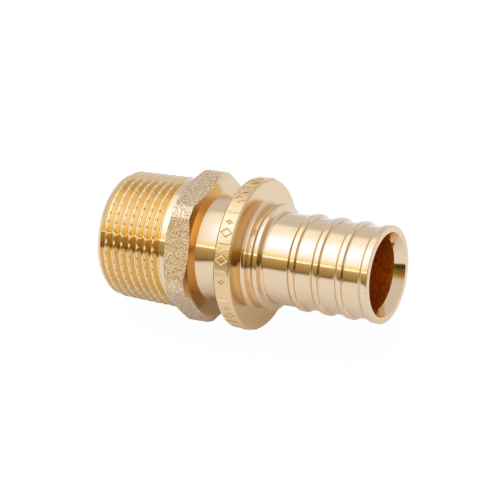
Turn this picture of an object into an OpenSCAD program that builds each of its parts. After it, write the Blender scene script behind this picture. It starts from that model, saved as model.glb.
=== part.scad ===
// Brass male coupling: a taper pipe thread, a hexagon, a plain neck, a collar
// and a ribbed spigot that a plastic pipe is pressed on. One piece, bored right through.
// Lengths are in millimetres. The axis is modelled upright, thread end down, and the
// finished piece is then laid on its collar and thread, with a flat of the hexagon below.

/* [Thread] */
// Outer diameter at the gauge plane
thread_d = 26.44; // [25.5:0.01:27.2]
// Distance from the thread's end to the gauge plane
gauge_depth = 9.5; // [7.7:0.1:11.3]
// Length of taper for one millimetre of diameter
taper_ratio = 16; // [10:1:30]
// Pitch of the thread
thread_pitch = 1.814; // [1.337:0.001:2.309]
// Height of a crest above the end face, on the side that lies on the ground
thread_phase = 1.07; // [0:0.01:1.8]
// Length of the threaded end, up to the hexagon
thread_len = 16.4; // [14:0.1:24]
// Plain band between the last groove and the hexagon, at its narrowest
runout_len = 0.7; // [0.5:0.1:3]
// Diameter of the end face
lead_d = 24; // [22.5:0.1:25]
// Length of the lead-in cone
lead_len = 1.6; // [0.8:0.1:2.4]

/* [Hexagon] */
// Width across the flats
hex_af = 28; // [27.6:0.1:34]
// Width across the six blunted corners
hex_corner = 30.7; // [30.3:0.1:31.8]
// Width of the hexagon along the axis
hex_w = 5.4; // [4:0.1:12]
// Diameter of the turned face on the neck side
hex_face_d = 28.1; // [26:0.1:30]
// Slope of the bevel on the neck side, from the face
hex_face_slope = 22; // [10:1:40]
// Diameter of the face on the thread side
hex_back_d = 28.3; // [27.4:0.1:30]
// Slope of the bevel on the thread side, from the face
hex_back_slope = 31; // [10:1:40]

/* [Neck] */
// Diameter of the neck
neck_d = 19.6; // [18.5:0.1:22]
// Length between the hexagon and the collar
neck_len = 6.4; // [4:0.1:14]
// How far the neck flares out where it meets the hexagon
neck_flare = 1.1; // [0.4:0.1:1.6]
// Length of that flare
neck_flare_len = 1.7; // [1.6:0.1:3]

/* [Collar] */
// Diameter of the collar
collar_d = 31.2; // [29.5:0.1:36]
// Thickness of the collar
collar_w = 3.7; // [2.5:0.1:7]
// Width of the small bevel on each edge of the rim
collar_edge = 0.35; // [0.1:0.05:0.8]

/* [Spigot root] */
// Diameter of the boss beside the collar
boss_d = 21; // [20:0.1:24]
// Length of the boss
boss_len = 2.1; // [1.6:0.1:4]
// Radius at the foot of the boss
boss_fillet = 0.9; // [0.2:0.1:1]
// Width of the groove between the boss and the stop ring
root_groove_w = 0.5; // [0.3:0.05:1]
// Depth of that groove
root_groove_depth = 0.3; // [0.1:0.05:0.6]
// Diameter of the stop ring
ring_d = 21.7; // [20.4:0.1:24]
// Length of the stop ring's crown
ring_w = 1.05; // [0.6:0.05:2]
// How far the shoulder below the ring leans, along the axis
ring_shoulder = 0.3; // [0.1:0.05:1]
// Radius at the shoulder's foot
ring_foot = 0.45; // [0.1:0.05:0.45]

/* [Spigot] */
// Length from the collar's face to the open end
spigot_len = 27.5; // [26:0.1:40]
// Diameter between the ribs
spigot_d = 18.7; // [18:0.1:19.4]
// Diameter over the ribs and the end lip
rib_d = 19.9; // [19.5:0.1:20.3]
// Number of ribs
rib_count = 3; // [2:1:4]
// Distance from rib to rib
rib_pitch = 5.2; // [3.5:0.1:5.6]
// Distance from the last rib's step to the open end
rib_end_gap = 5.55; // [4.5:0.05:7]
// Length of a rib's crown
rib_w = 1.1; // [0.6:0.05:1.8]
// Rise of a rib's crown towards the open end
rib_rise = 0.08; // [0:0.01:0.2]
// Length of the ramp up to a rib
rib_ramp = 0.45; // [0.2:0.05:1]
// Length of the step down from a rib
rib_step = 0.15; // [0.05:0.05:0.4]
// Radius at the foot of a rib's step
rib_foot = 0.25; // [0.1:0.05:0.4]
// Length of the end lip, without its ramp
lip_len = 1.55; // [1:0.05:3]
// Radius of the lip's outer edge
lip_edge = 0.25; // [0.1:0.05:0.4]

/* [Bore] */
// Diameter of the bore
bore_d = 15.2; // [12:0.1:15.6]
// Diameter of the mouth at the spigot's end
mouth_d = 17.2; // [16:0.1:18]
// Depth of the mouth's cone
mouth_depth = 2.1; // [1:0.1:4]
// Diameter of the wider bore in the threaded end
wide_bore_d = 18.4; // [16.4:0.1:19.4]
// Depth of the wider bore
wide_bore_depth = 17; // [10:0.5:20]
// Angle of the cone where the wider bore ends
drill_angle = 118; // [90:1:140]
// Width of the bevel at the threaded end's mouth
wide_bore_bevel = 0.8; // [0.3:0.1:1.4]

/* [Hidden] */
$fn = 96;
brass = "#d8ab5c";
arc_steps = 6;

// Stations along the axis, from the thread's end face
hex_z0 = thread_len;
hex_z1 = hex_z0 + hex_w;
collar_z0 = hex_z1 + neck_len;
collar_z1 = collar_z0 + collar_w;
total_len = collar_z1 + spigot_len;
ring_z0 = collar_z1 + boss_len + root_groove_w;

// Round blank of the hexagon, wide enough for its corners, and its two bevels
blank_r = hex_corner / 2 / cos(30) + 0.2;
face_drop = (blank_r - hex_face_d / 2) * tan(hex_face_slope);
back_drop = (blank_r - hex_back_d / 2) * tan(hex_back_slope);

// Radius of the thread's crests at a distance from its end face
function crest_r(z) = thread_d / 2 + (z - gauge_depth) / taper_ratio / 2;
runout_r = crest_r(thread_len - runout_len);

// The groove's 55 degree flanks leave a narrow flat crest and a broad flat root
half_crest = thread_pitch / 12;
half_flank = 27.5;
thread_depth = 0.515 * thread_pitch;
half_root = thread_pitch / 2 - half_crest - thread_depth * tan(half_flank);

// The neck's flare is an arc that runs out into the neck
flare_angle = 2 * atan(neck_flare / neck_flare_len);
flare_r = neck_flare_len / sin(flare_angle);

// Feet under the stop ring and the ribs, kept within the height of what they stand under
shoulder_foot = min(ring_foot, (ring_d - spigot_d) / 4);
step_foot = min(rib_foot, (rib_d - spigot_d) / 4);

// Steps of the swept groove in one turn, and how many it takes to fade out at its end
groove_steps = 30;
fade_steps = 5;

// Section of the groove at a step: outer edge, root, root, outer edge
function groove_section(i, last) =
    let (a = i * 360 / groove_steps,
         z = thread_phase + thread_pitch * (i / groove_steps + 0.5),
         fade = min(1, (last - i) / fade_steps),
         out = 0.25,
         root = crest_r(z) - thread_depth * fade + (out + 0.01) * (1 - fade),
         top = crest_r(z) + out + 0.02,
         half_top = half_root + (top - root) * tan(half_flank))
    [for (p = [[top, -half_top], [root, -half_root], [root, half_root], [top, half_top]])
        [p[0] * cos(a), p[0] * sin(a), z + p[1]]];

// A quarter or other arc in the plane of the section, as [radius, height] points
function arc(r, z, rad, from, to) =
    [for (i = [0 : arc_steps])
        let (a = from + (to - from) * i / arc_steps)
        [r + rad * cos(a), z + rad * sin(a)]];

// One rib: ramp, crown, step and the step's foot, which starts at height z
function rib(z) = concat(
    [[spigot_d / 2, z - rib_step - rib_w - rib_ramp]],
    [[rib_d / 2 - rib_rise, z - rib_step - rib_w]],
    [[rib_d / 2, z - rib_step]],
    arc(spigot_d / 2 + step_foot, z + step_foot, step_foot, 270, 180)
);

// Resting place: the rim's far edge and the first full crest touch the ground
rest_rim_z = collar_z0 + collar_edge;
rest_tilt = atan((collar_d / 2 - crest_r(lead_len)) / (rest_rim_z - lead_len));
rest_lift = collar_d / 2 * cos(rest_tilt) - rest_rim_z * sin(rest_tilt);
reach_right = total_len * cos(rest_tilt) + (rib_d / 2 - lip_edge) * sin(rest_tilt);
reach_left = lead_d / 2 * sin(rest_tilt);

// Everything that is round outside, from the thread's end to the open end
module turned_outside() {
    ribs = [for (k = [rib_count - 1 : -1 : 0])
        each rib(total_len - rib_end_gap - k * rib_pitch)];
    rotate_extrude()
        polygon(concat(
            [[0, 0], [lead_d / 2, 0], [crest_r(lead_len), lead_len]],
            [[runout_r, thread_len - runout_len], [runout_r, hex_z0]],
            [[hex_back_d / 2, hex_z0], [blank_r, hex_z0 + back_drop]],
            [[blank_r, hex_z1 - face_drop], [hex_face_d / 2, hex_z1]],
            arc(neck_d / 2 + flare_r, hex_z1 + neck_flare_len, flare_r, 180 + flare_angle, 180),
            [[neck_d / 2, collar_z0]],
            [[collar_d / 2 - collar_edge, collar_z0]],
            [[collar_d / 2, collar_z0 + collar_edge]],
            [[collar_d / 2, collar_z1 - collar_edge]],
            [[collar_d / 2 - collar_edge, collar_z1]],
            arc(boss_d / 2 + boss_fillet, collar_z1 + boss_fillet, boss_fillet, 270, 180),
            [[boss_d / 2, collar_z1 + boss_len]],
            [[boss_d / 2 - root_groove_depth, collar_z1 + boss_len + root_groove_depth]],
            [[boss_d / 2 - root_groove_depth, ring_z0], [ring_d / 2, ring_z0]],
            [[ring_d / 2, ring_z0 + ring_w]],
            arc(spigot_d / 2 + shoulder_foot, ring_z0 + ring_w + ring_shoulder + shoulder_foot,
                shoulder_foot, 270, 180),
            ribs,
            [[spigot_d / 2, total_len - lip_len - rib_ramp]],
            [[rib_d / 2 - rib_rise, total_len - lip_len]],
            arc(rib_d / 2 - lip_edge, total_len - lip_edge, lip_edge, 0, 90),
            [[0, total_len]]
        ));
}

// The helical groove that leaves the thread, a right-handed V with flat root,
// swept from outside the end face until it fades out at the plain band
module thread_groove() {
    first = -groove_steps;
    turns = (thread_len - runout_len - thread_phase) / thread_pitch - 1;
    last = floor(turns * groove_steps);
    sections = [for (i = [first : last]) groove_section(i, last)];
    n = len(sections);
    polyhedron(
        points = [for (s = sections) each s],
        faces = concat(
            [[0, 1, 2, 3]],
            [for (i = [0 : n - 2], k = [0 : 3])
                let (k1 = (k + 1) % 4)
                [4 * i + k, 4 * i + 4 + k, 4 * i + 4 + k1, 4 * i + k1]],
            [[4 * n - 1, 4 * n - 2, 4 * n - 3, 4 * n - 4]]
        ),
        convexity = 10);
}

// What is milled off the round blank to leave six flats, a given width across
module beside_flats(across, turn) {
    translate([0, 0, hex_z0 - 1])
        difference() {
            cylinder(r = blank_r + 1, h = hex_w + 2);
            rotate([0, 0, turn])
                translate([0, 0, -1])
                    cylinder(r = across / 2 / cos(30), h = hex_w + 4, $fn = 6);
        }
}

// Bore, its mouth at the spigot's end and the wider bore in the threaded end
module bore() {
    cone_len = (wide_bore_d - bore_d) / 2 / tan(drill_angle / 2);
    rotate_extrude()
        polygon([
            [0, -1], [wide_bore_d / 2 + wide_bore_bevel + 1, -1],
            [wide_bore_d / 2, wide_bore_bevel], [wide_bore_d / 2, wide_bore_depth],
            [bore_d / 2, wide_bore_depth + cone_len],
            [bore_d / 2, total_len - mouth_depth], [mouth_d / 2, total_len],
            [mouth_d / 2, total_len + 1], [0, total_len + 1]
        ]);
}

// The whole coupling, laid down along X as it rests
module coupling_body() {
    color(brass)
        translate([(reach_left - reach_right) / 2, 0, rest_lift])
            rotate([0, -rest_tilt, 0])
                rotate([0, 90, 0])
                    difference() {
                        turned_outside();
                        beside_flats(hex_af, 30);
                        beside_flats(hex_corner, 0);
                        thread_groove();
                        bore();
                    }
}

coupling_body();
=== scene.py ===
"""A brass male coupling: taper pipe thread, hexagon, neck, collar and ribbed spigot.

The coupling is one piece of brass, so its body is one closed mesh, made of two
Geometry Nodes sweeps that are sewn together: the turned profile with its six wrench
flats, and the helical thread with its serrated crests. A third tree sets the raised
marks round the forged rim of the collar.
"""

import math
from functools import partial

import bmesh
import bpy
from mathutils import Matrix, Vector


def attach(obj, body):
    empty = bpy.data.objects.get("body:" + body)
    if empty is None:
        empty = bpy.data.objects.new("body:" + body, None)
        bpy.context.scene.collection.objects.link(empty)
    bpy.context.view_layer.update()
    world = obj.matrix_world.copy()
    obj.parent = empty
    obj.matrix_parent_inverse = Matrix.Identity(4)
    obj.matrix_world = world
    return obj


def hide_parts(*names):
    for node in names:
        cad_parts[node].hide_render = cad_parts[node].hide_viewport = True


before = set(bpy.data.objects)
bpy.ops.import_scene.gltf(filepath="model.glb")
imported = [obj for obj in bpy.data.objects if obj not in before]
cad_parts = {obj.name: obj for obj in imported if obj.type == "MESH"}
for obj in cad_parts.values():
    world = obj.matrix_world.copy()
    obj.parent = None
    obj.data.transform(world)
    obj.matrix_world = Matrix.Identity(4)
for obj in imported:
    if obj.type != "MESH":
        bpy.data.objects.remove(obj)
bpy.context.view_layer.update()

bl_info = {
    "name": "Brass male coupling",
    "version": (1, 0, 0),
    "blender": (4, 5, 0),
    "location": "3D View > Sidebar > Coupling",
    "description": "Builds a turned brass coupling with its thread, finishes and studio",
    "category": "Object",
}

NODE = "coupling_body"
BODY = "root"
MM = 0.001
SIXTH = math.tau / 6
FLANK = math.radians(27.5)

# Columns of the meshes: for a sixth of a turn, for a blunted corner and for a nick
SIXTH_COLUMNS, CORNER_COLUMNS, NICK_COLUMNS = 36, 4, 6
# Greatest turn in one step of a rounding, and the angle from which an edge is sharp
ROUNDING, SHARP = math.radians(16), math.radians(21)
THREAD_ROUNDING = math.radians(24)
# Shares of a stretch that a rounding may take, alone and beside another one
ALONE, SHARED = 0.96, 0.48

# Rows of the section where the shape needs them: shares of the way over the flats and
# over the rim, distances along the bores in millimetres, and steps of the neck's flare
FLAT_ROWS = (0.0, 0.02, 0.15, 0.5, 0.85, 0.98, 1.0)
RIM_ROWS = (0.14, 0.28, 0.43, 0.57, 0.72, 0.86)
BORE_ROWS = (1.5, 3, 6, 10, 15, 20, 26, 32)
WIDE_BORE_ROWS = (11, 5)
FLARE_STEPS = 8

# Groups of marks round the rim, as first angle and number; the marks are MARK_STEP apart
MARK_GROUPS = ((26, 4), (70, 6), (132, 8), (204, 4), (242, 3), (275, 4), (326.4, 5))
MARK_STEP = 8.4

# Size of the forging's lumps in millimetres, and the seeds of lumps and nicks
LUMP = 2.4
FORGING_SEED, NICK_SEED = 3.0, 5.0

# A mark's width and the radius of a small one, both for one unit of its length
MARK_WIDTH, SMALL_MARK, MARK_SIDES = 0.7, 0.28, 8

# Depth of the row below the nicks for one nick's depth, the share of the last turn in
# which the groove fades out, and factor and offset of: how the columns crowd towards a
# nick, how strong a nick is by chance, and how much deeper it is towards the hexagon
NICK_ROW, FADE = 1.3, 0.16
CROWDING, CHANCE, LEAN = (0.65, 0.35), (0.35, 0.8), (1.1, 0.85)

PREFIXES = ("ShaderNode", "GeometryNode", "FunctionNode", "")

# Finishes, as the zone numbers that the profile carries, and how closely they compare
TURNED, FACED, BLASTED, FORGED, THREADED, BORED, REAMED = range(7)
SAME = 0.1

# Places over the flats that stand for the hexagon's two faces and for the rest
ON_FACE, ELSEWHERE = -1.0, -2.0

# The camera, fitted to the photo: its place in millimetres and its three directions
LENS, SENSOR, CLIP = 224.578, 36.0, (0.01, 20.0)
CAMERA_PLACE = (240.279, -452.225, 385.77)
CAMERA_RIGHT = (0.89665, 0.44031, -0.04641)
CAMERA_UP = (-0.22432, 0.54217, 0.80977)
CAMERA_VIEW = (-0.38171, 0.71567, -0.58491)

# The floor's half width, and the stretch over which painted shade darkens the floor behind the
# object, in metres
FLOOR_HALF = 8.0
FLOOR_SHADE_NEAR, FLOOR_SHADE_FAR = 0.03, 0.3

# Cards that only reflections show, all at one distance in metres and one direction. Each
# has its left, right, low and high edge in metres, its strength, and its colours as
# (height share, sRGB hex) from low to high. A dark wall stands a little above the floor;
# at its left half a thin light and a warm strip lie on top, its right half is darker.
CARDS_AWAY, CARDS_FACING = 2.0, math.radians(-80)
CARDS = {
    "dark_wall": (-7, 0.3, 0.1, 1.36, 1.0, (
        (0.0, "#e4d2c0"), (0.05, "#5a4124"), (0.12, "#786135"), (0.2, "#a18f5d"),
        (0.4, "#ae9d65"), (0.7, "#bfb07e"), (1.0, "#caba8b"))),
    "thin_light": (-7, 0.3, 1.36, 1.47, 4.36, ((0.0, "#d2dbff"), (1.0, "#d2dbff"))),
    "warm_strip": (-7, 0.3, 1.47, 2.3, 1.9, (
        (0.0, "#b8b781"), (0.4, "#c7cfad"), (0.8, "#cddae2"), (1.0, "#d0e1f9"))),
    "dark_side": (0.3, 7, 0.1, 1.36, 1.0, (
        (0.0, "#a06a4a"), (0.06, "#4a3010"), (0.25, "#453a08"), (0.5, "#7a6a26"),
        (1.0, "#a08e44"))),
    "gold_side": (0.3, 7, 1.36, 2.0, 1.0, (
        (0.0, "#aa9a58"), (0.3, "#b9ad74"), (1.0, "#dbe0e8"))),
}


def mm(value):
    """A length in millimetres, as Blender's metres."""
    return value * MM


# Roundings of edges that have no size of their own
GROOVE_EDGE, CROWN_EDGE, MOUTH_EDGE, BROKEN_EDGE = mm(0.06), mm(0.07), mm(0.08), mm(0.1)
RING_EDGE, RIM_BACK, RIM_EDGE, WIDE_BORE_END = mm(0.12), mm(0.15), mm(0.2), mm(0.3)
# How far in from their edges the hexagon's faces and the collar's face have a row
HEX_ROW, FACE_ROW = mm(0.45), mm(2.5)
# Vertices closer than the first are one, and edges shorter than the second are none
MERGED, SLIVER = mm(0.0015), mm(0.0005)
# Within this many metres of the cutting plane a vertex lies on it
ON_PLANE = 1e-8
# The strip that sews the thread and the plain band together
SEAM = mm(0.1)
# Within this of a station or a radius counts as on it
NEAR = mm(0.01)


def length(name, description, default):
    """A length property whose default is given in millimetres."""
    return bpy.props.FloatProperty(
        name=name, description=description, default=mm(default), min=0.0,
        unit="LENGTH", precision=5)


def plain_number(name, description, default, **limits):
    """A property that is a plain number, not below zero if nothing else is said."""
    return bpy.props.FloatProperty(
        name=name, description=description, default=default, **{"min": 0.0, **limits})


def in_degrees(name, description, degrees):
    """An angle property whose default is given in degrees."""
    return bpy.props.FloatProperty(
        name=name, description=description, default=math.radians(degrees), unit="ROTATION")


def linear(hex_colour):
    """An sRGB hex colour as linear red, green, blue and alpha."""
    out = []
    for i in (1, 3, 5):
        c = int(hex_colour[i:i + 2], 16) / 255
        out.append(c / 12.92 if c <= 0.04045 else ((c + 0.055) / 1.055) ** 2.4)
    return (*out, 1.0)


def colour(name, description, hex_colour):
    """A colour property whose default is given as an sRGB hex value."""
    return bpy.props.FloatVectorProperty(
        name=name, description=description, subtype="COLOR", size=4,
        min=0.0, max=1.0, default=linear(hex_colour))


class ThreadSizes(bpy.types.PropertyGroup):
    """Sizes of the male taper thread"""
    gauge_d: length("Gauge diameter", "Over the crests at the gauge plane", 26.44)
    gauge_depth: length("Gauge depth", "From the end face to the gauge plane", 9.5)
    pitch: length("Pitch", "From crest to crest", 1.814)
    taper: plain_number("Taper", "Length for one unit of diameter", 16.0, min=4.0)
    start: length("Start", "Where a crest stands at the zero angle", 1.07)
    length: length("Length", "From the end face to the hexagon", 16.4)
    lead_d: length("Lead diameter", "Across the end face", 24.0)
    lead_len: length("Lead length", "Length of the lead-in cone", 1.6)
    run_out: length("Run-out", "Plain band between the last groove and the hexagon", 0.7)
    depth: plain_number("Depth", "Depth of the groove for one unit of pitch", 0.61,
                        min=0.3, max=0.64)
    half_crest: length("Half crest", "Half the width of a crest's land", 0.12)
    crest_radius: length("Crest radius", "Rounding of the crests", 0.1)
    root_radius: length("Root radius", "Rounding of the roots", 0.33)
    nicks: bpy.props.IntProperty(
        name="Nicks", description="Serration nicks in one turn of the crest", default=41,
        min=8, max=60)
    nick_turn: in_degrees("Nick turn", "Angle of one row of nicks", 6.8)
    nick_depth: length("Nick depth", "Depth of a serration nick", 0.19)
    nick_len: length("Nick length", "Length of a nick along the crest", 0.62)


class HexagonSizes(bpy.types.PropertyGroup):
    """Sizes of the hexagon"""
    across_flats: length("Across flats", "Width over two flats", 28.0)
    across_corners: length("Across corners", "Width over two blunted corners", 30.7)
    width: length("Width", "Along the axis", 5.4)
    face_d: length("Front face", "Diameter of the turned face beside the neck", 28.1)
    face_slope: in_degrees("Front slope", "Slope of the bevel beside the neck", 22)
    back_d: length("Back face", "Diameter of the face beside the thread", 28.3)
    back_slope: in_degrees("Back slope", "Slope of the bevel beside the thread", 31)


class CollarSizes(bpy.types.PropertyGroup):
    """Sizes of the neck and the collar"""
    neck_d: length("Neck diameter", "Between the hexagon and the collar", 20.2)
    neck_len: length("Neck length", "From the hexagon to the collar", 6.4)
    neck_flare: length("Neck flare", "How far the neck flares out at the hexagon", 0.85)
    neck_flare_len: length("Flare length", "Length of that flare", 4.6)
    collar_d: length("Collar diameter", "Over the forged rim", 31.2)
    collar_w: length("Collar width", "Thickness of the collar", 3.7)
    edge: length("Rim edge", "Bevel on each edge of the rim", 0.35)
    boss_d: length("Boss diameter", "Beside the collar", 21.0)
    boss_len: length("Boss length", "From the collar to the groove", 2.1)
    boss_fillet: length("Boss fillet", "Radius at the foot of the boss", 0.9)
    groove_w: length("Groove width", "Between the boss and the stop ring", 0.5)
    groove_depth: length("Groove depth", "Below the boss", 0.3)
    ring_d: length("Stop ring diameter", "Over the stop ring", 21.7)
    ring_w: length("Stop ring width", "Length of its crown", 1.05)
    shoulder: length("Shoulder", "How far the wall below the ring leans", 0.3)
    shoulder_foot: length("Shoulder foot", "Radius at the foot of that wall", 0.45)
    forging: length("Forging", "Unevenness that the forging left on the rim", 0.09)
    mark_len: length("Mark length", "Length of a mark across the rim", 2.5)
    mark_high: length("Mark height", "Height of a mark above the rim", 0.15)
    mark_line: length("Mark line", "Width of a mark's line", 0.42)


class SpigotSizes(bpy.types.PropertyGroup):
    """Sizes of the ribbed spigot"""
    length: length("Length", "From the collar's face to the open end", 27.5)
    floor_d: length("Floor diameter", "Between the ribs", 18.7)
    rib_d: length("Rib diameter", "Over the ribs and the end lip", 19.9)
    ribs: bpy.props.IntProperty(name="Ribs", description="Number of ribs", default=3, min=1)
    rib_pitch: length("Rib pitch", "From rib to rib", 5.2)
    end_gap: length("End gap", "From the last rib to the open end", 5.55)
    rib_w: length("Rib width", "Length of a rib's crown", 1.1)
    rib_rise: length("Rib rise", "How far a crown rises towards the end", 0.08)
    ramp: length("Ramp", "Length of the ramp up to a rib", 0.45)
    ramp_radius: length("Ramp radius", "Rounding at both ends of a ramp", 0.6)
    step: length("Step", "Length of the step down from a rib", 0.15)
    foot: length("Rib foot", "Radius at the foot of a rib's step", 0.25)
    lip_len: length("Lip length", "Length of the end lip", 1.55)
    lip_edge: length("Lip edge", "Radius of the lip's outer edge", 0.25)


class BoreSizes(bpy.types.PropertyGroup):
    """Sizes of the bores"""
    bore_d: length("Bore diameter", "Through the spigot and the neck", 15.2)
    mouth_d: length("Mouth diameter", "At the open end", 17.2)
    mouth_depth: length("Mouth depth", "Length of the mouth's cone", 2.1)
    wide_d: length("Wide bore diameter", "Behind the thread", 18.4)
    wide_depth: length("Wide bore depth", "From the end face", 17.0)
    drill_angle: in_degrees("Drill angle", "Cone where the wide bore ends", 118)
    bevel: length("Bevel", "At the threaded end's mouth", 0.8)


class FinishColours(bpy.types.PropertyGroup):
    """Colours of the brass in its finishes"""
    bright: colour("Bright brass", "Reflection colour of cut brass", "#ebc997")
    rolled: colour("Rolled brass", "Reflection colour of the rolled thread", "#eeca8b")
    stain: colour("Stain", "Colour of the small stains on it", "#9a6a38")
    blasted: colour("Blasted brass", "Reflection colour of the blasted forging", "#f8d8a2")
    # The grain colour is painted shade in the blasted grain's pits
    grain: colour("Grain", "Reflection colour in the grain's pits", "#b0824e")
    faced: colour("Faced brass", "Reflection colour of the faced surfaces", "#edc98f")
    forged: colour("Forged brass", "Reflection colour of the rough forging", "#ebc386")
    # The bore's colours are painted: the strong orange of both is painted light, a glow over
    # the bore's shade, and the darker scored colour is painted shade in the tool marks'
    # grooves
    bored: colour("Bored brass", "Reflection colour of the drilled bore", "#ffba36")
    scored: colour("Scored brass", "Reflection colour of the bore's tool marks", "#dd7e18")


class StudioLights(bpy.types.PropertyGroup):
    """Colours and directions of the studio's light"""
    floor: colour("Floor", "Colour of the floor and the backdrop", "#ffffff")
    glow: plain_number("Glow", "Share of plain white in the floor that the camera sees",
                       0.97, max=1.0)
    mirrored: plain_number("Mirrored glow", "The same share in the floor that metal shows",
                           0.05, max=1.0)
    # The far floor's cooler, darker colour is painted shade: a fall-off of light painted
    # behind the object
    far: colour("Far floor", "Colour of the floor behind the object", "#e4e8f3")
    room: colour("Room", "Colour of the pale room", "#dae3fe")
    room_strength: plain_number("Room strength", "Strength of the room's light", 1.05)
    key: colour("Key", "Colour of the broad soft light", "#ebf8fe")
    key_strength: plain_number("Key strength", "Strength of the broad soft light", 0.5)
    key_inner: in_degrees("Key inside", "Half angle of its full part", 40.5)
    key_outer: in_degrees("Key outside", "Half angle where it ends", 51)
    core: colour("Core", "Colour of its cool core", "#358bff")
    core_strength: plain_number("Core strength", "Strength of the core", 1.85)
    fall: plain_number("Fall", "How fast the core and the low light fall off", 15.0)
    azimuth: in_degrees("Azimuth", "Direction of the light on the ground", -154)
    elevation: in_degrees("Elevation", "Height of the light above the ground", 53)
    side: colour("Side light", "Colour of the low light at the left", "#f2fff0")
    side_strength: plain_number("Side strength", "Strength of the low light", 0.42)
    side_azimuth: in_degrees("Side azimuth", "Direction of the low light on the ground", -172)
    side_elevation: in_degrees("Side elevation", "Height of the low light", 34)


class CouplingSettings(bpy.types.PropertyGroup):
    """Everything about the coupling that can be set"""
    thread: bpy.props.PointerProperty(type=ThreadSizes)
    hexagon: bpy.props.PointerProperty(type=HexagonSizes)
    collar: bpy.props.PointerProperty(type=CollarSizes)
    spigot: bpy.props.PointerProperty(type=SpigotSizes)
    bore: bpy.props.PointerProperty(type=BoreSizes)
    colours: bpy.props.PointerProperty(type=FinishColours)
    lights: bpy.props.PointerProperty(type=StudioLights)


# Stations and placing


class Stations:
    """Stations along the axis, in metres from the thread's end face."""

    def __init__(self, s):
        self.s = s
        self.hex_back = s.thread.length
        self.hex_front = self.hex_back + s.hexagon.width
        self.collar_back = self.hex_front + s.collar.neck_len
        self.collar_front = self.collar_back + s.collar.collar_w
        self.end = self.collar_front + s.spigot.length
        flat, corner = s.hexagon.across_flats, s.hexagon.across_corners
        self.half_flat = math.atan((corner / flat - math.cos(SIXTH / 2)) / math.sin(SIXTH / 2))
        t = s.thread
        room = (self.hex_back - t.run_out - t.start) / t.pitch - 1
        # The groove ends half way between two rows of nicks
        spacing = math.tau / t.nicks
        first = t.nick_turn - spacing / 2
        self.last_nick = math.floor((room * math.tau - first) / spacing)
        turns = (first + self.last_nick * spacing) / math.tau
        self.first_angle = first
        self.thread_top = t.start + t.pitch * (turns + 1)
        self.band_start = self.thread_top + SEAM

    def crest(self, z):
        """Radius over the thread's crests at a station."""
        t = self.s.thread
        return t.gauge_d / 2 + (z - t.gauge_depth) / t.taper / 2

    def placing(self):
        """Matrix from the upright axis to the coupling as it lies on collar and thread."""
        c, t = self.s.collar, self.s.thread
        rim = self.collar_back + c.edge
        tilt = math.atan((c.collar_d / 2 - self.crest(t.lead_len)) / (rim - t.lead_len))
        lift = c.collar_d / 2 * math.cos(tilt) - rim * math.sin(tilt)
        lip = self.s.spigot.rib_d / 2 - self.s.spigot.lip_edge
        right = self.end * math.cos(tilt) + lip * math.sin(tilt)
        left = t.lead_d / 2 * math.sin(tilt)
        return (Matrix.Translation(((left - right) / 2, 0, lift))
                @ Matrix.Rotation(-tilt, 4, "Y") @ Matrix.Rotation(math.pi / 2, 4, "Y"))


def settings():
    """The scene's coupling settings."""
    return bpy.context.scene.coupling


# Sections


def rounded(corners, step=ROUNDING):
    """Points of a section whose corners (r, z, radius, zone) are rounded off in steps.

    The zone is that of the stretch that starts at the corner.
    """
    out = []
    for i, (r, z, rad, zone) in enumerate(corners):
        here = Vector((r, z))
        if rad == 0 or i in (0, len(corners) - 1):
            out.append((r, z, zone))
            continue
        before = Vector(corners[i - 1][:2]) - here
        after = Vector(corners[i + 1][:2]) - here
        turn = math.pi - before.angle(after)
        # Two roundings share the stretch between them
        room = [side.length * (SHARED if corners[k][2] else ALONE)
                for side, k in ((before, i - 1), (after, i + 1))]
        cut = min(rad * math.tan(turn / 2), *room)
        a, b = here + before.normalized() * cut, here + after.normalized() * cut
        inward = (before.normalized() + after.normalized()).normalized()
        centre = here + inward * cut / math.sin(turn / 2)
        steps = math.ceil(turn / step)
        for k in range(steps + 1):
            t = k / steps
            p = centre + ((a - centre) * math.sin((1 - t) * turn)
                          + (b - centre) * math.sin(t * turn)) / math.sin(turn)
            out.append((p.x, p.y, zone if t >= 0.5 else corners[i - 1][3]))
    return out


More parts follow.
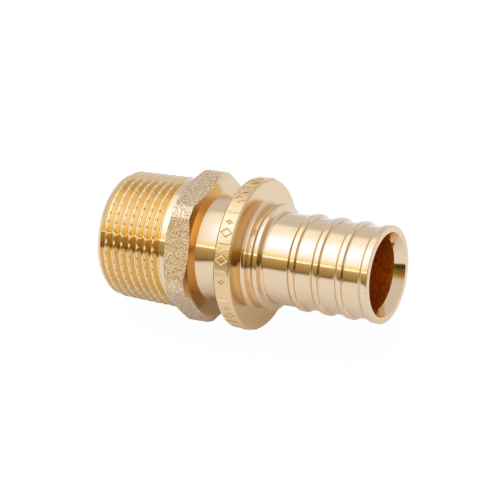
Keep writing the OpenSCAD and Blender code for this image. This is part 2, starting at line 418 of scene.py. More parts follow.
def turned_section(st):
    """Rows of the turned profile: radius, station, zone, place over the flats.

    It runs from the thread's last crest round the outside to the open end, and back
    through the bore to the threaded end. The place over the flats is 0 to 1 from the
    hexagon's back bevel to its front bevel, ON_FACE on its two faces and else ELSEWHERE.
    """
    s = st.s
    h, c, g, b = s.hexagon, s.collar, s.spigot, s.bore
    rows = [(r, z, k, ELSEWHERE) for r, z, k in rounded([
        (st.crest(st.thread_top), st.band_start, 0, TURNED),
        (st.crest(st.thread_top), st.hex_back, RING_EDGE, FACED),
        (h.back_d / 2 - HEX_ROW, st.hex_back, 0, FACED)])]
    rows.append((h.back_d / 2, st.hex_back, FACED, ON_FACE))
    # The flats are cut from a round that is wider than the corners, and the face above
    # the last row over them is the turned bevel
    rows += [(h.across_corners, 0.0, BLASTED if t < 1 else FACED, t) for t in FLAT_ROWS]
    rows.append((h.face_d / 2, st.hex_front, FACED, ON_FACE))
    rows.append((h.face_d / 2 - HEX_ROW, st.hex_front, FACED, ELSEWHERE))
    # The neck's flare is an arc that runs out into the neck
    opening = 2 * math.atan(c.neck_flare / c.neck_flare_len)
    flare = c.neck_flare_len / math.sin(opening)
    for k in range(FLARE_STEPS + 1):
        a = opening * (1 - k / FLARE_STEPS)
        rows.append((c.neck_d / 2 + flare * (1 - math.cos(a)),
                     st.hex_front + c.neck_flare_len - flare * math.sin(a), TURNED,
                     ELSEWHERE))
    rim = c.collar_d / 2 - c.mark_high
    ring = st.collar_front + c.boss_len + c.groove_w
    boss, groove = c.boss_d / 2, c.boss_d / 2 - c.groove_depth
    floor, crown = g.floor_d / 2, g.rib_d / 2
    corners = [
        (c.neck_d / 2, st.collar_back - 3 * RIM_EDGE, 0, TURNED),
        (c.neck_d / 2, st.collar_back, RIM_EDGE, FACED),
        (rim - c.edge, st.collar_back, RIM_BACK, FORGED),
        (rim, st.collar_back + c.edge, RIM_EDGE, FORGED)]
    corners += [(rim, st.collar_back + c.edge + (c.collar_w - 2 * c.edge) * t, 0, FORGED)
                for t in RIM_ROWS]
    corners += [
        (rim, st.collar_front - c.edge, RIM_EDGE, FORGED),
        (rim - c.edge, st.collar_front, BROKEN_EDGE, FACED),
        (rim - FACE_ROW, st.collar_front, 0, FACED),
        (boss, st.collar_front, c.boss_fillet, TURNED),
        (boss, st.collar_front + c.boss_len, GROOVE_EDGE, TURNED),
        (groove, st.collar_front + c.boss_len + c.groove_depth, GROOVE_EDGE, TURNED),
        (groove, ring, GROOVE_EDGE, TURNED),
        (c.ring_d / 2, ring, BROKEN_EDGE, TURNED),
        (c.ring_d / 2, ring + c.ring_w, RING_EDGE, TURNED),
        (floor, ring + c.ring_w + c.shoulder, c.shoulder_foot, TURNED)]
    for k in reversed(range(g.ribs)):
        z = st.end - g.end_gap - k * g.rib_pitch - g.step
        corners += [
            (floor, z - g.rib_w - g.ramp, g.ramp_radius, TURNED),
            (crown - g.rib_rise, z - g.rib_w, g.ramp_radius, TURNED),
            (crown, z, CROWN_EDGE, TURNED),
            (floor, z + g.step, g.foot, TURNED)]
    corners += [
        (floor, st.end - g.lip_len - g.ramp, g.ramp_radius, TURNED),
        (crown - g.rib_rise, st.end - g.lip_len, g.ramp_radius, TURNED),
        (crown, st.end, g.lip_edge, FACED),
        (b.mouth_d / 2, st.end, MOUTH_EDGE, REAMED),
        (b.bore_d / 2, st.end - b.mouth_depth, MOUTH_EDGE, BORED)]
    corners += [(b.bore_d / 2, st.end - b.mouth_depth - mm(k), 0, BORED) for k in BORE_ROWS]
    cone = (b.wide_d - b.bore_d) / 2 / math.tan(b.drill_angle / 2)
    corners += [
        (b.bore_d / 2, b.wide_depth + cone, BROKEN_EDGE, BORED),
        (b.wide_d / 2, b.wide_depth, WIDE_BORE_END, BORED)]
    corners += [(b.wide_d / 2, mm(k), 0, BORED) for k in WIDE_BORE_ROWS]
    corners += [
        (b.wide_d / 2, b.bevel, BROKEN_EDGE, FACED),
        (b.wide_d / 2 + b.bevel, 0.0, 0, FACED)]
    return rows + [(r, z, k, ELSEWHERE) for r, z, k in rounded(corners)]


def thread_section(t):
    """One pitch of the 55 degree thread, from crest to crest, with round crest and root.

    Each point is (depth below the crest, share of the pitch).
    """
    depth = t.depth * t.pitch
    middle = t.pitch / 2
    below = t.nick_depth * NICK_ROW
    half = rounded([
        (0.0, 0.0, 0, 0),
        (0.0, t.half_crest, t.crest_radius, 0),
        (below, t.half_crest + below * math.tan(FLANK), 0, 0),
        (depth, t.half_crest + depth * math.tan(FLANK), t.root_radius, 0),
        (depth, middle, 0, 0)], THREAD_ROUNDING)
    out = [(d, x) for d, x, _ in half]
    out += [(d, t.pitch - x) for d, x in reversed(out[:-1])]
    return [(d, x / t.pitch) for d, x in out]


# Geometry Nodes


def add(tree, kind, *inputs, **settings):
    """Add a node, with its inputs in order or by name, and its settings.

    The kind is the node's type without its prefix, and its operation after a blank; an
    operation alone is that of a Math node. An input is a value, a node, a socket, or a
    list of these for an input that takes several.
    """
    name, _, operation = ("Math " + kind if kind.isupper() else kind).partition(" ")
    full = next(p + name for p in PREFIXES if hasattr(bpy.types, p + name))
    node = tree.nodes.new(full)
    if operation:
        node.operation = operation
    for key, value in settings.items():
        setattr(node, key, value)
    pairs = []
    for i, value in enumerate(inputs):
        pairs += value.items() if isinstance(value, dict) else [(i, value)]
    for key, value in pairs:
        for source in value if isinstance(value, list) else [value]:
            if isinstance(source, bpy.types.Node):
                source = source.outputs[0]
            if isinstance(source, bpy.types.NodeSocket):
                tree.links.new(source, node.inputs[key])
            else:
                node.inputs[key].default_value = source
    return node


def grid_of(node, source, columns):
    """A grid of one row per section point.

    Returns the grid, the column and row of a vertex, and the lower row of a face.
    """
    points = node("AttributeDomainSize", {0: source}, component="MESH").outputs["Point Count"]
    last = node("SUBTRACT", points, 1.0)
    grid = node("MeshGrid", {"Size X": columns, "Size Y": last, "Vertices Y": points,
                             "Vertices X": node("ADD", columns, 1.0)})
    place = node("SeparateXYZ", {0: node("InputPosition")})
    across = node("MULTIPLY_ADD", columns, 0.5, place.outputs[0])
    along = node("MULTIPLY_ADD", last, 0.5, place.outputs[1])
    return grid, node("ROUND", across), node("ROUND", along), node("FLOOR", along)


def column_angle(node, column, sixth, corner, half_flat):
    """Angle of a column; columns meet the edges of the six flats and blunted corners."""
    side = node("FLOOR", node("DIVIDE", column, sixth))
    along = node("SUBTRACT", column, node("MULTIPLY", side, sixth))
    flat_cols = node("SUBTRACT", sixth, corner)
    on_flat = node("DIVIDE", node("MINIMUM", along, flat_cols), flat_cols)
    past = node("MAXIMUM", node("SUBTRACT", along, flat_cols), 0.0)
    on_corner = node("DIVIDE", past, corner)
    flat_turn = node("MULTIPLY", half_flat, 2.0)
    flat_part = node("MULTIPLY", on_flat, flat_turn)
    corner_part = node("MULTIPLY", on_corner, node("SUBTRACT", SIXTH, flat_turn))
    start = node("SUBTRACT", node("MULTIPLY", side, SIXTH), half_flat)
    return node("ADD", start, node("ADD", flat_part, corner_part))


def round_about(node, radius, angle, height):
    """The point at a radius, angle and height about the upright axis."""
    return node("CombineXYZ", node("MULTIPLY", radius, node("COSINE", angle)),
                node("MULTIPLY", radius, node("SINE", angle)), height)


def turned_and_milled(node, at):
    """Sweep the section round the axis, and cut the six flats and blunted corners."""
    source = at["Geometry"]
    columns = node("MULTIPLY", at["Sixth"], 6.0)
    grid, column, row, face_row = grid_of(node, source, columns)
    section = node("SeparateXYZ", {0: node("InputPosition")})
    radius = node("SampleIndex", source, section.outputs[0], row)
    height = node("SampleIndex", source, section.outputs[1], row)
    flats = node("SampleIndex", source, node("InputNamedAttribute", "flats"), row)
    zone = node("SampleIndex", source, node("InputNamedAttribute", "zone"), row)
    angle = column_angle(node, column, at["Sixth"], at["Corner"], at["Half flat"])

    from_flat = node("ABSOLUTE", node("WRAP", angle, SIXTH / 2, -SIXTH / 2))
    from_corner = node("SUBTRACT", SIXTH / 2, from_flat)
    half_flats = node("MULTIPLY", at["Across flats"], 0.5)
    half_corners = node("MULTIPLY", at["Across corners"], 0.5)
    reach = node("MINIMUM", node("DIVIDE", half_flats, node("COSINE", from_flat)),
                 node("DIVIDE", half_corners, node("COSINE", from_corner)))
    past_back = node("MAXIMUM", node("SUBTRACT", reach, at["Back face"]), 0.0)
    back = node("MULTIPLY_ADD", past_back, node("TANGENT", at["Back slope"]), at["Back"])
    past_front = node("MAXIMUM", node("SUBTRACT", reach, at["Front face"]), 0.0)
    bevel = node("MULTIPLY", past_front, node("TANGENT", at["Front slope"]))
    front = node("SUBTRACT", at["Front"], bevel)
    flat_z = node("MULTIPLY_ADD", node("MAXIMUM", flats, 0.0),
                  node("SUBTRACT", front, back), back)
    on_flat = node("GREATER_THAN", flats, ON_FACE / 2)
    on_hexagon = node("GREATER_THAN", flats, (ON_FACE + ELSEWHERE) / 2)
    z = node("MULTIPLY_ADD", on_flat, node("SUBTRACT", flat_z, height), height)
    cut = node("SUBTRACT", node("MINIMUM", radius, reach), radius)
    place = round_about(node, node("MULTIPLY_ADD", on_hexagon, cut, radius), angle, z)

    # The forged stretches keep the slight unevenness of the forging, which only dips
    lumps = node("TexNoise", {
        "Vector": place, "W": at["Seed"], "Scale": 1 / mm(LUMP), "Detail": 2.0},
        noise_dimensions="4D")
    on_rim = node("MapRange", {
        "Value": radius, "From Min": node("SUBTRACT", at["Rim"], at["Rim edge"]),
        "From Max": at["Rim"]})
    forged = node("MULTIPLY", on_rim, node("COMPARE", zone, float(FORGED), SAME))
    dip = node("MULTIPLY", node("MULTIPLY", lumps, forged),
               node("MULTIPLY", at["Unevenness"], -1.0))
    moved = node("VectorMath ADD", place, round_about(node, dip, angle, 0.0))
    # A face takes the zone of its lower row
    lower = node("SampleIndex", source, node("InputNamedAttribute", "zone"), face_row)
    zoned = node("StoreNamedAttribute", {"Geometry": grid, "Name": "zone", "Value": lower},
                 data_type="FLOAT", domain="FACE")
    return node("SetPosition", {"Geometry": zoned, "Position": moved})


def helical_thread(node, at):
    """Sweep one pitch of thread along its helix, and fill in up to the plain band."""
    source = at["Geometry"]

    def crest_radius(z):
        rise = node("DIVIDE", node("SUBTRACT", z, at["Gauge depth"]),
                    node("MULTIPLY", at["Taper"], 2.0))
        return node("ADD", at["Gauge radius"], rise)

    def strip(first, last, zone, wedge):
        """One strip of columns; a wedge fills from the last crest up to the plain band."""
        grid, step, row, _ = grid_of(node, source, node("SUBTRACT", last, first))
        column = node("ADD", step, first)
        section = node("SeparateXYZ", {0: node("InputPosition")})
        depth = node("SampleIndex", source, section.outputs[0], row)
        share = node("SampleIndex", source, section.outputs[1], row)

        # The columns crowd towards the middle of each nick
        nick = node("FLOOR", node("DIVIDE", column, at["Nick columns"]))
        past = node("SUBTRACT", column, node("MULTIPLY", nick, at["Nick columns"]))
        half = node("MULTIPLY", at["Nick columns"], 0.5)
        even = node("SUBTRACT", node("DIVIDE", past, half), 1.0)
        crowd = node("MULTIPLY_ADD", node("MULTIPLY", even, even), *CROWDING)
        off = node("MULTIPLY", even, crowd)
        place = node("ADD", nick, node("MULTIPLY_ADD", off, 0.5, 0.5))
        angle = node("MULTIPLY_ADD", place, at["Spacing"], at["First angle"])
        turns = node("DIVIDE", angle, math.tau)
        crest = node("MULTIPLY_ADD", turns, at["Pitch"], at["Start"])
        if wedge:
            low = node("ADD", crest, at["Pitch"])
            z = node("MULTIPLY_ADD", share, node("SUBTRACT", at["Top"], low), low)
            radius = crest_radius(z)
        else:
            z = node("MULTIPLY_ADD", share, at["Pitch"], crest)
            left = node("SUBTRACT", last, column)
            fade = node("MapRange", {"Value": left, "From Max": at["Fade"]},
                        interpolation_type="SMOOTHSTEP")
            # A nick near the top of the section belongs to the next turn's crest
            later = node("MULTIPLY", node("ROUND", share), at["Turn"])
            nicked = node("MapRange", {"Value": node("SUBTRACT", left, later),
                                       "From Max": at["Nick columns"]})
            which = node("ADD", nick, node("DIVIDE", later, at["Nick columns"]))
            chance = node("TexWhiteNoise", {"W": node("ADD", which, at["Seed"])},
                          noise_dimensions="1D").outputs["Value"]
            strength = node("MULTIPLY_ADD", chance, *CHANCE)
            # The roll leans, so a nick is deeper on the side towards the hexagon
            wave = node("SINE", node("MULTIPLY", share, math.tau))
            lean = node("MULTIPLY_ADD", wave, *LEAN)
            room = node("MULTIPLY", at["Gauge radius"], at["Spacing"])
            width = node("DIVIDE", at["Nick length"], room)
            apart = node("DIVIDE", node("ABSOLUTE", off), width)
            valley = node("MAXIMUM", node("SUBTRACT", 1.0, apart), 0.0)
            notch = node("MULTIPLY", node("MULTIPLY", valley, at["Nick depth"]),
                         node("MULTIPLY", nicked, node("MULTIPLY", strength, lean)))
            cut = node("MAXIMUM", node("MULTIPLY", depth, fade), notch)
            lead = node("MULTIPLY_ADD", z, at["Lead slope"], at["Lead radius"])
            radius = node("MINIMUM", node("SUBTRACT", crest_radius(z), cut), lead)
        marked = node("StoreNamedAttribute", {
            "Geometry": grid, "Name": "zone", "Value": float(zone)},
            data_type="FLOAT", domain="FACE")
        return node("SetPosition", {
            "Geometry": marked, "Position": round_about(node, radius, angle, z)})

    groove = strip(at["First column"], at["Last column"], THREADED, False)
    turn_back = node("SUBTRACT", at["Last column"], at["Turn"])
    band = strip(turn_back, at["Last column"], TURNED, True)
    return node("JoinGeometry", [band, groove])


def rim_marks(node, at):
    """Raise a mark at each point of a row, and bend the row round the rim."""
    half = node("MULTIPLY", at["Length"], 0.5)
    small = node("MULTIPLY", at["Length"], SMALL_MARK)
    half_line = node("MULTIPLY", at["Line"], 0.5)
    profile = node("CurvePrimitiveCircle", {"Resolution": MARK_SIDES, "Radius": half_line})
    diamond = node("CurvePrimitiveQuadrilateral", {
        "Width": node("MULTIPLY", at["Length"], MARK_WIDTH), "Bottom Height": half,
        "Top Height": half}, mode="KITE")
    bar = node("CurvePrimitiveLine", {
        "Start": node("CombineXYZ", 0.0, node("MULTIPLY", half, -1.0), 0.0),
        "End": node("CombineXYZ", 0.0, half, 0.0)}, mode="POINTS")
    ring = node("CurvePrimitiveQuadrilateral", {
        "Width": small, "Bottom Height": small, "Top Height": small}, mode="KITE")
    shape = node("InputNamedAttribute", "shape")
    row = []
    for number, curve in enumerate((diamond, bar, ring)):
        swept = node("CurveToMesh", {
            "Curve": curve, "Profile Curve": profile, "Fill Caps": True})
        chosen = node("COMPARE", shape, float(number), SAME)
        row.append(node("InstanceOnPoints", {
            "Points": at["Geometry"], "Selection": chosen, "Instance": swept}))
    real = node("RealizeInstances", {0: node("JoinGeometry", row)})
    flat = node("SeparateXYZ", {0: node("InputPosition")})
    rise = node("DIVIDE", at["Height"], half_line)
    radius = node("MULTIPLY_ADD", flat.outputs[2], rise, at["Radius"])
    angle = node("DIVIDE", flat.outputs[0], at["Radius"])
    height = node("ADD", flat.outputs[1], at["Station"])
    bent = node("SetPosition", {
        "Geometry": real, "Position": round_about(node, radius, angle, height)})
    return node("StoreNamedAttribute", {
        "Geometry": bent, "Name": "zone", "Value": float(FORGED)},
        data_type="FLOAT", domain="FACE")


def make_tree(fill, inputs, materials):
    """A geometry tree with an input for each value and material, as a function fills it.

    The tree ends by merging the seam, smoothing the faces and giving them their finishes.
    """
    tree = bpy.data.node_groups.new(fill.__name__, "GeometryNodeTree")
    face = tree.interface
    face.new_socket("Geometry", in_out="INPUT", socket_type="NodeSocketGeometry")
    for key, value in inputs.items():
        kind = ("NodeSocketMaterial" if isinstance(value, bpy.types.Material)
                else "NodeSocketInt" if isinstance(value, int) else "NodeSocketFloat")
        face.new_socket(key, in_out="INPUT", socket_type=kind).default_value = value
    face.new_socket("Geometry", in_out="OUTPUT", socket_type="NodeSocketGeometry")

    node = partial(add, tree)
    at = node("NodeGroupInput").outputs
    merged = node("MergeByDistance", {"Geometry": fill(node, at), "Distance": MERGED})
    last = node("RealizeInstances", {0: node("SetShadeSmooth", {"Geometry": merged})})
    zone = node("InputNamedAttribute", "zone")
    for number, material in sorted(materials.items()):
        last = node("SetMaterial", {
            "Geometry": last, "Material": at[material.name],
            "Selection": node("COMPARE", zone, float(number), SAME)})
    node("NodeGroupOutput", last)
    return tree


def linked(name, data):
    """A new object in the scene."""
    thing = bpy.data.objects.new(name, data)
    bpy.context.scene.collection.objects.link(thing)
    return thing


def modified(name, mesh, kind, set_up):
    """The plain mesh that a modifier makes of a mesh, which is used up."""
    holder = linked(name, mesh)
    modifier = holder.modifiers.new(name, kind)
    set_up(modifier)
    holder.update_tag()
    depsgraph = bpy.context.evaluated_depsgraph_get()
    result = bpy.data.meshes.new_from_object(holder.evaluated_get(depsgraph))
    holder.modifiers.remove(modifier)
    bpy.data.objects.remove(holder)
    bpy.data.meshes.remove(mesh)
    return result


def evaluate(name, points, attributes, fill, inputs, materials):
    """Run a tree on a section and return the plain mesh it makes.

    The tree gets the inputs and the materials, which are keyed by their zone numbers.
    """
    mesh = bpy.data.meshes.new(name + "_section")
    mesh.from_pydata([(x, y, 0.0) for x, y in points], [], [])
    for key, values in attributes.items():
        mesh.attributes.new(key, "FLOAT", "POINT").data.foreach_set("value", values)
    inputs = {**inputs, **{m.name: m for m in materials.values()}}
    tree = make_tree(fill, inputs, materials)

    def set_up(modifier):
        modifier.node_group = tree
        for item in tree.interface.items_tree:
            if item.in_out == "INPUT" and item.name in inputs:
                modifier[item.identifier] = inputs[item.name]

    result = modified(name + "_section", mesh, "NODES", set_up)
    if not result.polygons:
        raise RuntimeError(name + ": its tree made no faces")
    return result


# Materials


def empty_material(name):
    """A node material that has no nodes yet, and its tree."""
    material = bpy.data.materials.new(name)
    material.use_nodes = True
    material.node_tree.nodes.clear()
    return material, material.node_tree


def about_axis(node, st):
    """Object coordinates turned to the coupling's own upright axis.

    Returns the turned point, the distance from the axis and the station along it.
    """
    back = st.placing().inverted()
    upright = node("Mapping", node("TexCoord").outputs["Object"], {
        "Location": back.to_translation(), "Rotation": back.to_euler("XYZ")},
        vector_type="POINT")
    parts = node("SeparateXYZ", upright)
    flat = node("CombineXYZ", parts.outputs[0], parts.outputs[1], 0.0)
    return upright, node("VectorMath LENGTH", flat).outputs["Value"], parts.outputs[2]


def round_the_axis(node, st, amount):
    """Inputs that spread the gloss across the turning marks, which run round the axis."""
    axis = st.placing().to_3x3() @ Vector((0, 0, 1))
    centre = st.placing().to_translation()
    out = node("VectorMath SUBTRACT", node("TexCoord").outputs["Object"], tuple(centre))
    along = node("VectorMath CROSS_PRODUCT", tuple(axis), out)
    return {"Tangent": along, "Anisotropic": amount, "Anisotropic Rotation": 0.25}


def tool_marks(node, along, spacing, detail, strength):
    """Inputs that bump a finish with tool marks at a spacing in millimetres."""
    marks = node("TexNoise", {"W": along, "Scale": 1 / mm(spacing), "Detail": detail},
                 noise_dimensions="1D")
    return {"Normal": node("Bump", {
        "Height": marks, "Strength": strength, "Distance": mm(0.02)})}


def turned_brass(node, st):
    """Turned brass, polished by a fine feed: clear reflections drawn out along the axis."""
    upright, _, station = about_axis(node, st)
    bands = node("TexNoise", {"W": station, "Scale": 1 / mm(0.9), "Detail": 3.0},
                 noise_dimensions="1D")
    # A few stains of a tenth of a millimetre
    cells = node("TexVoronoi", upright, {"Scale": 1 / mm(1.8)})
    few = node("GREATER_THAN", node("SeparateXYZ", cells.outputs[1]), 0.86)
    spot = node("MULTIPLY", node("LESS_THAN", cells, 0.07), few)
    tint = node("Mix", {0: spot, 6: st.s.colours.bright, 7: st.s.colours.stain},
                data_type="RGBA")
    # The feed marks are finer than a pixel, so they are drawn 0.25 mm apart to show at all
    return {"Base Color": tint.outputs[2],
            "Roughness": node("MapRange", {"Value": bands, "To Min": 0.11, "To Max": 0.2}),
            **tool_marks(node, station, 0.25, 2.0, 0.3), **round_the_axis(node, st, 0.6)}


def faced_brass(node, st):
    """Brass faced on a lathe: rings round the axis that fan the reflections out."""
    _, radius, _ = about_axis(node, st)
    return {"Base Color": st.s.colours.faced, "Roughness": 0.17,
            **tool_marks(node, radius, 0.25, 2.0, 0.25), **round_the_axis(node, st, 0.7)}


def blasted_brass(node, st):
    """Forged brass, blasted with grit of about 0.3 mm: matt, with a sparkling grain and
    painted shade in its pits.
    """
    there = node("TexCoord").outputs["Object"]
    grain = node("TexNoise", there, {"Scale": 1 / mm(0.28), "Detail": 3.0})
    # The colour darkens towards the grain colour where the bump is low: painted shade in the
    # pits
    share = node("MapRange", {"Value": grain, "From Min": 0.35, "From Max": 0.6})
    tint = node("Mix", {0: share, 6: st.s.colours.grain, 7: st.s.colours.blasted},
                data_type="RGBA")
    return {"Base Color": tint.outputs[2], "Roughness": 0.3, "Normal": node(
        "Bump", {"Height": grain, "Strength": 1.0, "Distance": mm(0.15)})}


def forged_brass(node, st):
    """Forged brass left as it came from the die: satin, with a soft fine grain."""
    there = node("TexCoord").outputs["Object"]
    grain = node("TexNoise", there, {"Scale": 1 / mm(0.4), "Detail": 3.0})
    return {"Base Color": st.s.colours.forged, "Roughness": 0.25, "Normal": node(
        "Bump", {"Height": grain, "Strength": 0.7, "Distance": mm(0.08)})}


def threaded_brass(node, st):
    """Rolled thread: burnished flanks that throw golden light from one to the next."""
    there = node("TexCoord").outputs["Object"]
    worn = node("TexNoise", there, {"Scale": 1 / mm(0.5), "Detail": 2.0})
    return {"Base Color": st.s.colours.rolled, "Roughness": node(
        "MapRange", {"Value": worn, "To Min": 0.08, "To Max": 0.13})}


def bored_brass(node, st):
    """Drilled brass of the bore, dull and red-brown, with tool marks; its strong orange colour
    is painted light, a glow painted over the bore's shade.
    """
    upright, _, station = about_axis(node, st)
    # The tool left a helix of 0.4 mm a turn, broken up by its chatter, whose patches are
    # 0.25 mm along the bore and, as nine of them go to its radius, 0.85 mm round it
    patches = 9.0
    parts = node("SeparateXYZ", upright)
    angle = node("ARCTAN2", parts.outputs[1], parts.outputs[0])
    helix = node("SINE", node("MULTIPLY_ADD", station, math.tau / mm(0.4), angle))
    stretched = node("CombineXYZ", node("MULTIPLY", station, 1 / mm(0.25)),
                     node("MULTIPLY", node("SINE", angle), patches),
                     node("MULTIPLY", node("COSINE", angle), patches))
    chatter = node("TexNoise", stretched, {"Scale": 1.0, "Detail": 2.0})
    height = node("MULTIPLY_ADD", helix, 0.12, chatter)
    # The colour darkens to the scored one where the marks are low: painted shade in their
    # grooves
    share = node("MapRange", {"Value": height, "From Min": 0.4, "From Max": 0.6})
    tint = node("Mix", {0: share, 6: st.s.colours.scored, 7: st.s.colours.bored},
                data_type="RGBA")
    return {"Base Color": tint.outputs[2], "Roughness": 0.38, "Normal": node(
        "Bump", {"Height": height, "Strength": 0.6, "Distance": mm(0.05)})}


def reamed_brass(node, st):
    """The mouth's cone, cut bright by a reamer."""
    _, _, station = about_axis(node, st)
    return {"Base Color": st.s.colours.bright, "Roughness": 0.12,
            **tool_marks(node, station, 0.3, 1.0, 0.08), **round_the_axis(node, st, 0.5)}


def finishes(st):
    """All the finishes of the brass, in the order of the zone numbers."""
    materials = []
    for name, look in (
            ("turned", turned_brass), ("faced", faced_brass), ("blasted", blasted_brass),
            ("forged", forged_brass), ("thread_rolled", threaded_brass),
            ("bored", bored_brass), ("reamed", reamed_brass)):
        material, tree = empty_material("brass_" + name)
        node = partial(add, tree)
        node("OutputMaterial", node("BsdfPrincipled", {"Metallic": 1.0, **look(node, st)}))
        materials.append(material)
    return materials


# The body


def zipped(bm, outer, inner, material_index):
    """Faces between two rings of vertices round the upright axis."""
    def by_angle(ring):
        return sorted(((math.atan2(v.co.y, v.co.x), v) for v in ring), key=lambda p: p[0])

    a, b = by_angle(outer), by_angle(inner)
    i = j = 0
    while i < len(a) or j < len(b):
        next_a = a[i + 1][0] if i + 1 < len(a) else a[0][0] + math.tau
        next_b = b[j + 1][0] if j + 1 < len(b) else b[0][0] + math.tau
        va, vb = a[i % len(a)][1], b[j % len(b)][1]
        if j == len(b) or (i < len(a) and next_a < next_b):
            face = bm.faces.new((va, a[(i + 1) % len(a)][1], vb))
            i += 1
        else:
            face = bm.faces.new((va, b[(j + 1) % len(b)][1], vb))
            j += 1
        face.material_index = material_index
        face.smooth = True


def taken_in(bm, mesh, materials):
    """Add a mesh to the body, with its finishes by name."""
    order = [materials.index(m) if m else 0 for m in mesh.materials]
    known = set(bm.faces)
    bm.from_mesh(mesh)
    for face in bm.faces:
        if face not in known:
            face.material_index = order[face.material_index]
    bpy.data.meshes.remove(mesh)


def ring_at(bm, station, radius):
    """The open edge's vertices in the ring at a station and radius."""
    return [v for v in bm.verts if v.is_boundary and abs(v.co.z - station) < NEAR
            and abs(v.co.xy.length - radius) < NEAR]


def turned_mesh(st, materials):
    """The turned profile with its flats, as a plain mesh."""
    h, c = st.s.hexagon, st.s.collar
    radii, stations, zones, flats = zip(*turned_section(st))
    inputs = {
        "Sixth": SIXTH_COLUMNS, "Corner": CORNER_COLUMNS, "Half flat": st.half_flat,
        "Across flats": h.across_flats, "Across corners": h.across_corners,
        "Back face": h.back_d / 2, "Back slope": h.back_slope, "Back": st.hex_back,
        "Front face": h.face_d / 2, "Front slope": h.face_slope, "Front": st.hex_front,
        "Unevenness": c.forging, "Seed": FORGING_SEED, "Rim": c.collar_d / 2 - c.mark_high,
        "Rim edge": c.edge}
    return evaluate("turned", zip(radii, stations), {"zone": zones, "flats": flats},
                    turned_and_milled, inputs,
                    {k: m for k, m in enumerate(materials) if k != THREADED})


def thread_mesh(st, materials):
    """The helical thread up to the plain band, as a plain mesh that starts too low."""
    t = st.s.thread
    turn = t.nicks * NICK_COLUMNS
    inputs = {
        "First column": -2 * turn, "Last column": st.last_nick * NICK_COLUMNS,
        "Nick columns": NICK_COLUMNS, "First angle": st.first_angle,
        "Spacing": math.tau / t.nicks, "Turn": turn, "Pitch": t.pitch, "Start": t.start,
        "Top": st.thread_top, "Gauge radius": t.gauge_d / 2, "Gauge depth": t.gauge_depth,
        "Taper": t.taper, "Lead radius": t.lead_d / 2,
        "Lead slope": (st.crest(t.lead_len) - t.lead_d / 2) / t.lead_len,
        "Fade": FADE * turn, "Nick depth": t.nick_depth, "Nick length": t.nick_len,
        "Seed": NICK_SEED}
    return evaluate("thread", thread_section(t), {}, helical_thread, inputs,
                    {k: materials[k] for k in (TURNED, THREADED)})


def finished(name, bm, st, materials):
    """Lay a closed mesh as the coupling rests, and shade it without sharp smears."""
    bmesh.ops.recalc_face_normals(bm, faces=bm.faces[:])
    loose = sum(not edge.is_manifold for edge in bm.edges)
    if loose:
        raise RuntimeError("%s has %d open or crowded edges" % (name, loose))
    bm.transform(st.placing())
    mesh = bpy.data.meshes.new(name)
    bm.to_mesh(mesh)
    bm.free()
    for material in materials:
        mesh.materials.append(material)
    mesh.set_sharp_from_angle(angle=SHARP)
    result = modified(name + "_weighted", mesh, "WEIGHTED_NORMAL",
                      lambda modifier: setattr(modifier, "keep_sharp", True))
    result.name = name
    piece = linked(name, result)
    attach(piece, BODY)
    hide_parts(NODE)


class CouplingBody(bpy.types.Operator):
    """Build the coupling's body with its thread, hexagon, collar, spigot and bores"""
    bl_idname = "coupling.body"
    bl_label = "Build the body"

    def execute(self, context):
        st = Stations(settings())
        materials = finishes(st)
        bm = bmesh.new()
        taken_in(bm, thread_mesh(st, materials), materials)
        # The helix starts below the end face and is cut off square there
        cut = bmesh.ops.bisect_plane(
            bm, geom=bm.verts[:] + bm.edges[:] + bm.faces[:], dist=ON_PLANE,
            plane_co=(0, 0, 0), plane_no=(0, 0, 1), clear_inner=True)
        edge_ring = [v for v in cut["geom_cut"] if isinstance(v, bmesh.types.BMVert)]
        top_ring = ring_at(bm, st.thread_top, st.crest(st.thread_top))
        taken_in(bm, turned_mesh(st, materials), materials)
        bore = settings().bore
        zipped(bm, edge_ring, ring_at(bm, 0.0, bore.wide_d / 2 + bore.bevel), FACED)
        zipped(bm, top_ring, ring_at(bm, st.band_start, st.crest(st.thread_top)), TURNED)
        bmesh.ops.remove_doubles(bm, verts=bm.verts[:], dist=MERGED)
        bmesh.ops.dissolve_degenerate(bm, edges=bm.edges[:], dist=SLIVER)
        finished("coupling", bm, st, materials)
        return {"FINISHED"}


class CouplingMarks(bpy.types.Operator):
    """Set the raised marks round the forged rim of the collar"""
    bl_idname = "coupling.marks"
    bl_label = "Raise the rim's marks"

    def execute(self, context):
        st = Stations(settings())
        c = settings().collar
        forged = next((m for m in bpy.data.materials if m.name == "brass_forged"), None)
        if forged is None:
            raise RuntimeError("the body comes before its marks")
        radius = c.collar_d / 2 - c.mark_high
        points, shapes = [], []
        for first, count in MARK_GROUPS:
            for k in range(count):
                points.append((radius * math.radians(first + k * MARK_STEP), 0.0))
                shapes.append((k + count) % 3)
        mesh = evaluate("marks", points, {"shape": shapes}, rim_marks, {
            "Radius": radius, "Station": (st.collar_back + st.collar_front) / 2,
            "Length": c.mark_len, "Line": c.mark_line, "Height": c.mark_high},
            {FORGED: forged})
        bm = bmesh.new()
        taken_in(bm, mesh, [forged])
        finished("rim_marks", bm, st, [forged])
        return {"FINISHED"}


# Studio


def square(name, corners, material):
    """A flat piece of the studio with four corners."""
    mesh = bpy.data.meshes.new(name)
    mesh.from_pydata([tuple(corner) for corner in corners], [], [(0, 1, 2, 3)])
    mesh.materials.append(material)
    return linked(name, mesh)


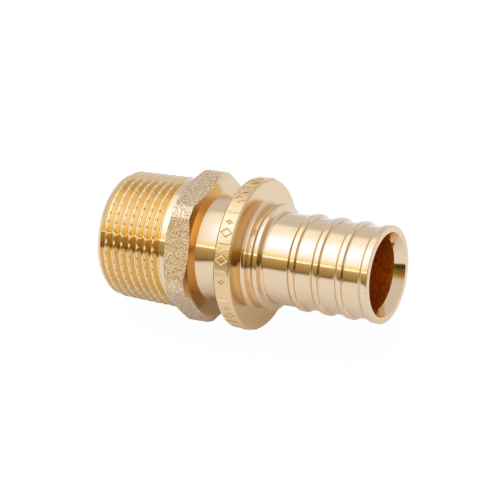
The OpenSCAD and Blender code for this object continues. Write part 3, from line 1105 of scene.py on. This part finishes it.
def studio_card(name, left, right, low, high, strength, colours):
    """A card of the studio, from its edges, seen only in reflections.

    The colours are (height share, sRGB hex) stops from its bottom to its top.
    """
    out = Vector((math.cos(CARDS_FACING), math.sin(CARDS_FACING), 0)) * CARDS_AWAY
    side = Vector((-math.sin(CARDS_FACING), math.cos(CARDS_FACING), 0))
    corners = [out + side * x + Vector((0, 0, z))
               for x, z in ((left, low), (right, low), (right, high), (left, high))]
    material, tree = empty_material(name + "_cloth")
    node = partial(add, tree)
    there = node("SeparateXYZ", node("TexCoord").outputs["Object"])
    share = node("MapRange", {"Value": there.outputs[2], "From Min": low, "From Max": high})
    ramp = node("ValToRGB", share)
    stops = ramp.color_ramp.elements
    while len(stops) < len(colours):
        stops.new(0.5)
    for stop, (place, hex_colour) in zip(stops, colours):
        stop.position = place
        stop.color = linear(hex_colour)
    node("OutputMaterial", node("Emission", ramp, strength))
    card = square(name, corners, material)
    card.visible_camera = card.visible_diffuse = card.visible_shadow = False


def towards(azimuth, elevation):
    """Direction vector of an azimuth and an elevation."""
    return (math.cos(elevation) * math.cos(azimuth), math.cos(elevation) * math.sin(azimuth),
            math.sin(elevation))


def room_light(world, lights):
    """A pale room with one broad soft light high up at the front left."""
    world.use_nodes = True
    tree = world.node_tree
    tree.nodes.clear()
    node = partial(add, tree)
    direction = node("TexCoord").outputs["Generated"]

    def cosine(azimuth, elevation):
        there = towards(azimuth, elevation)
        return node("VectorMath DOT_PRODUCT", direction, there).outputs["Value"]

    away = node("ARCCOSINE", cosine(lights.azimuth, lights.elevation))
    broad = node("MapRange", {
        "Value": away, "From Min": lights.key_outer, "From Max": lights.key_inner},
        interpolation_type="SMOOTHSTEP")
    key = node("Background", lights.key, node("MULTIPLY", broad, lights.key_strength))
    light = node("AddShader", key, node("Background", lights.room, lights.room_strength))
    # exp(-k (1 - cos)) falls off like a soft round light
    for where, tint, strength in (
            ((lights.azimuth, lights.elevation), lights.core, lights.core_strength),
            ((lights.side_azimuth, lights.side_elevation), lights.side, lights.side_strength)):
        below = node("SUBTRACT", cosine(*where), 1.0)
        fall = node("EXPONENT", node("MULTIPLY", below, lights.fall))
        glow = node("Background", tint, node("MULTIPLY", fall, strength))
        light = node("AddShader", light, glow)
    node("OutputWorld", light)


def paper_floor(lights):
    """White paper: nearly plain white to the camera, with a faint shadow."""
    material, tree = empty_material("floor_paper")
    node = partial(add, tree)
    # The paper turns cooler and darker behind the object: painted shade, a fall-off of the
    # light painted into its colour
    there = node("SeparateXYZ", node("TexCoord").outputs["Object"])
    behind = node("MapRange", {
        "Value": there.outputs[1], "From Min": FLOOR_SHADE_NEAR, "From Max": FLOOR_SHADE_FAR})
    tint = node("Mix", {0: behind, 6: lights.floor, 7: lights.far}, data_type="RGBA")
    paper = node("BsdfDiffuse", tint.outputs[2])
    path = node("LightPath")
    seen = node("MULTIPLY", path.outputs["Is Camera Ray"], lights.glow)
    mirrored = node("ADD", path.outputs["Is Glossy Ray"],
                    path.outputs["Is Transmission Ray"])
    share = node("MULTIPLY_ADD", mirrored, lights.mirrored, seen)
    white = node("Emission", lights.floor, 1.0)
    node("OutputMaterial", node("MixShader", share, paper, white))
    return material


class CouplingStudio(bpy.types.Operator):
    """Set up the camera, the soft lights, the pale floor and the white background"""
    bl_idname = "coupling.studio"
    bl_label = "Set up the studio"

    def execute(self, context):
        scene = context.scene
        scene.view_settings.view_transform = "Standard"

        data = bpy.data.cameras.new("camera")
        data.sensor_fit = "HORIZONTAL"
        data.sensor_width = SENSOR
        data.lens = LENS
        data.clip_start, data.clip_end = CLIP
        camera = linked("camera", data)
        turned = Matrix((Vector(CAMERA_RIGHT), Vector(CAMERA_UP), -Vector(CAMERA_VIEW)))
        camera.matrix_world = (Matrix.Translation([mm(k) for k in CAMERA_PLACE])
                               @ turned.transposed().to_4x4())
        scene.camera = camera

        lights = settings().lights
        side = FLOOR_HALF
        floor = square("floor", ((-side, -side, 0), (side, -side, 0), (side, side, 0),
                                 (-side, side, 0)), paper_floor(lights))
        scene.world = bpy.data.worlds.new("studio")
        room_light(scene.world, lights)
        for name, card in CARDS.items():
            studio_card(name, *card)
        return {"FINISHED"}


class CouplingPanel(bpy.types.Panel):
    """Lists the coupling's operators and sizes"""
    bl_idname = "VIEW3D_PT_coupling"
    bl_label = "Coupling"
    bl_space_type = "VIEW_3D"
    bl_region_type = "UI"
    bl_category = "Coupling"

    def draw(self, context):
        layout = self.layout
        for step in STEPS:
            layout.operator(step.bl_idname)
        for group in type(context.scene.coupling).__annotations__:
            box = layout.box()
            box.label(text=group.capitalize())
            sizes = getattr(context.scene.coupling, group)
            for key in type(sizes).__annotations__:
                box.prop(sizes, key)


GROUPS = (ThreadSizes, HexagonSizes, CollarSizes, SpigotSizes, BoreSizes, FinishColours,
          StudioLights, CouplingSettings)
STEPS = (CouplingStudio, CouplingBody, CouplingMarks)


def register():
    """Register the groups, operators and panel."""
    for kind in GROUPS + STEPS + (CouplingPanel,):
        bpy.utils.register_class(kind)
    bpy.types.Scene.coupling = bpy.props.PointerProperty(type=CouplingSettings)


def unregister():
    """Take the groups, operators and panel away again."""
    del bpy.types.Scene.coupling
    for kind in reversed(GROUPS + STEPS + (CouplingPanel,)):
        bpy.utils.unregister_class(kind)


def main():
    """Build everything in order."""
    register()
    for step in STEPS:
        group, name = step.bl_idname.split(".")
        getattr(getattr(bpy.ops, group), name)()


if __name__ == "__main__":
    main()
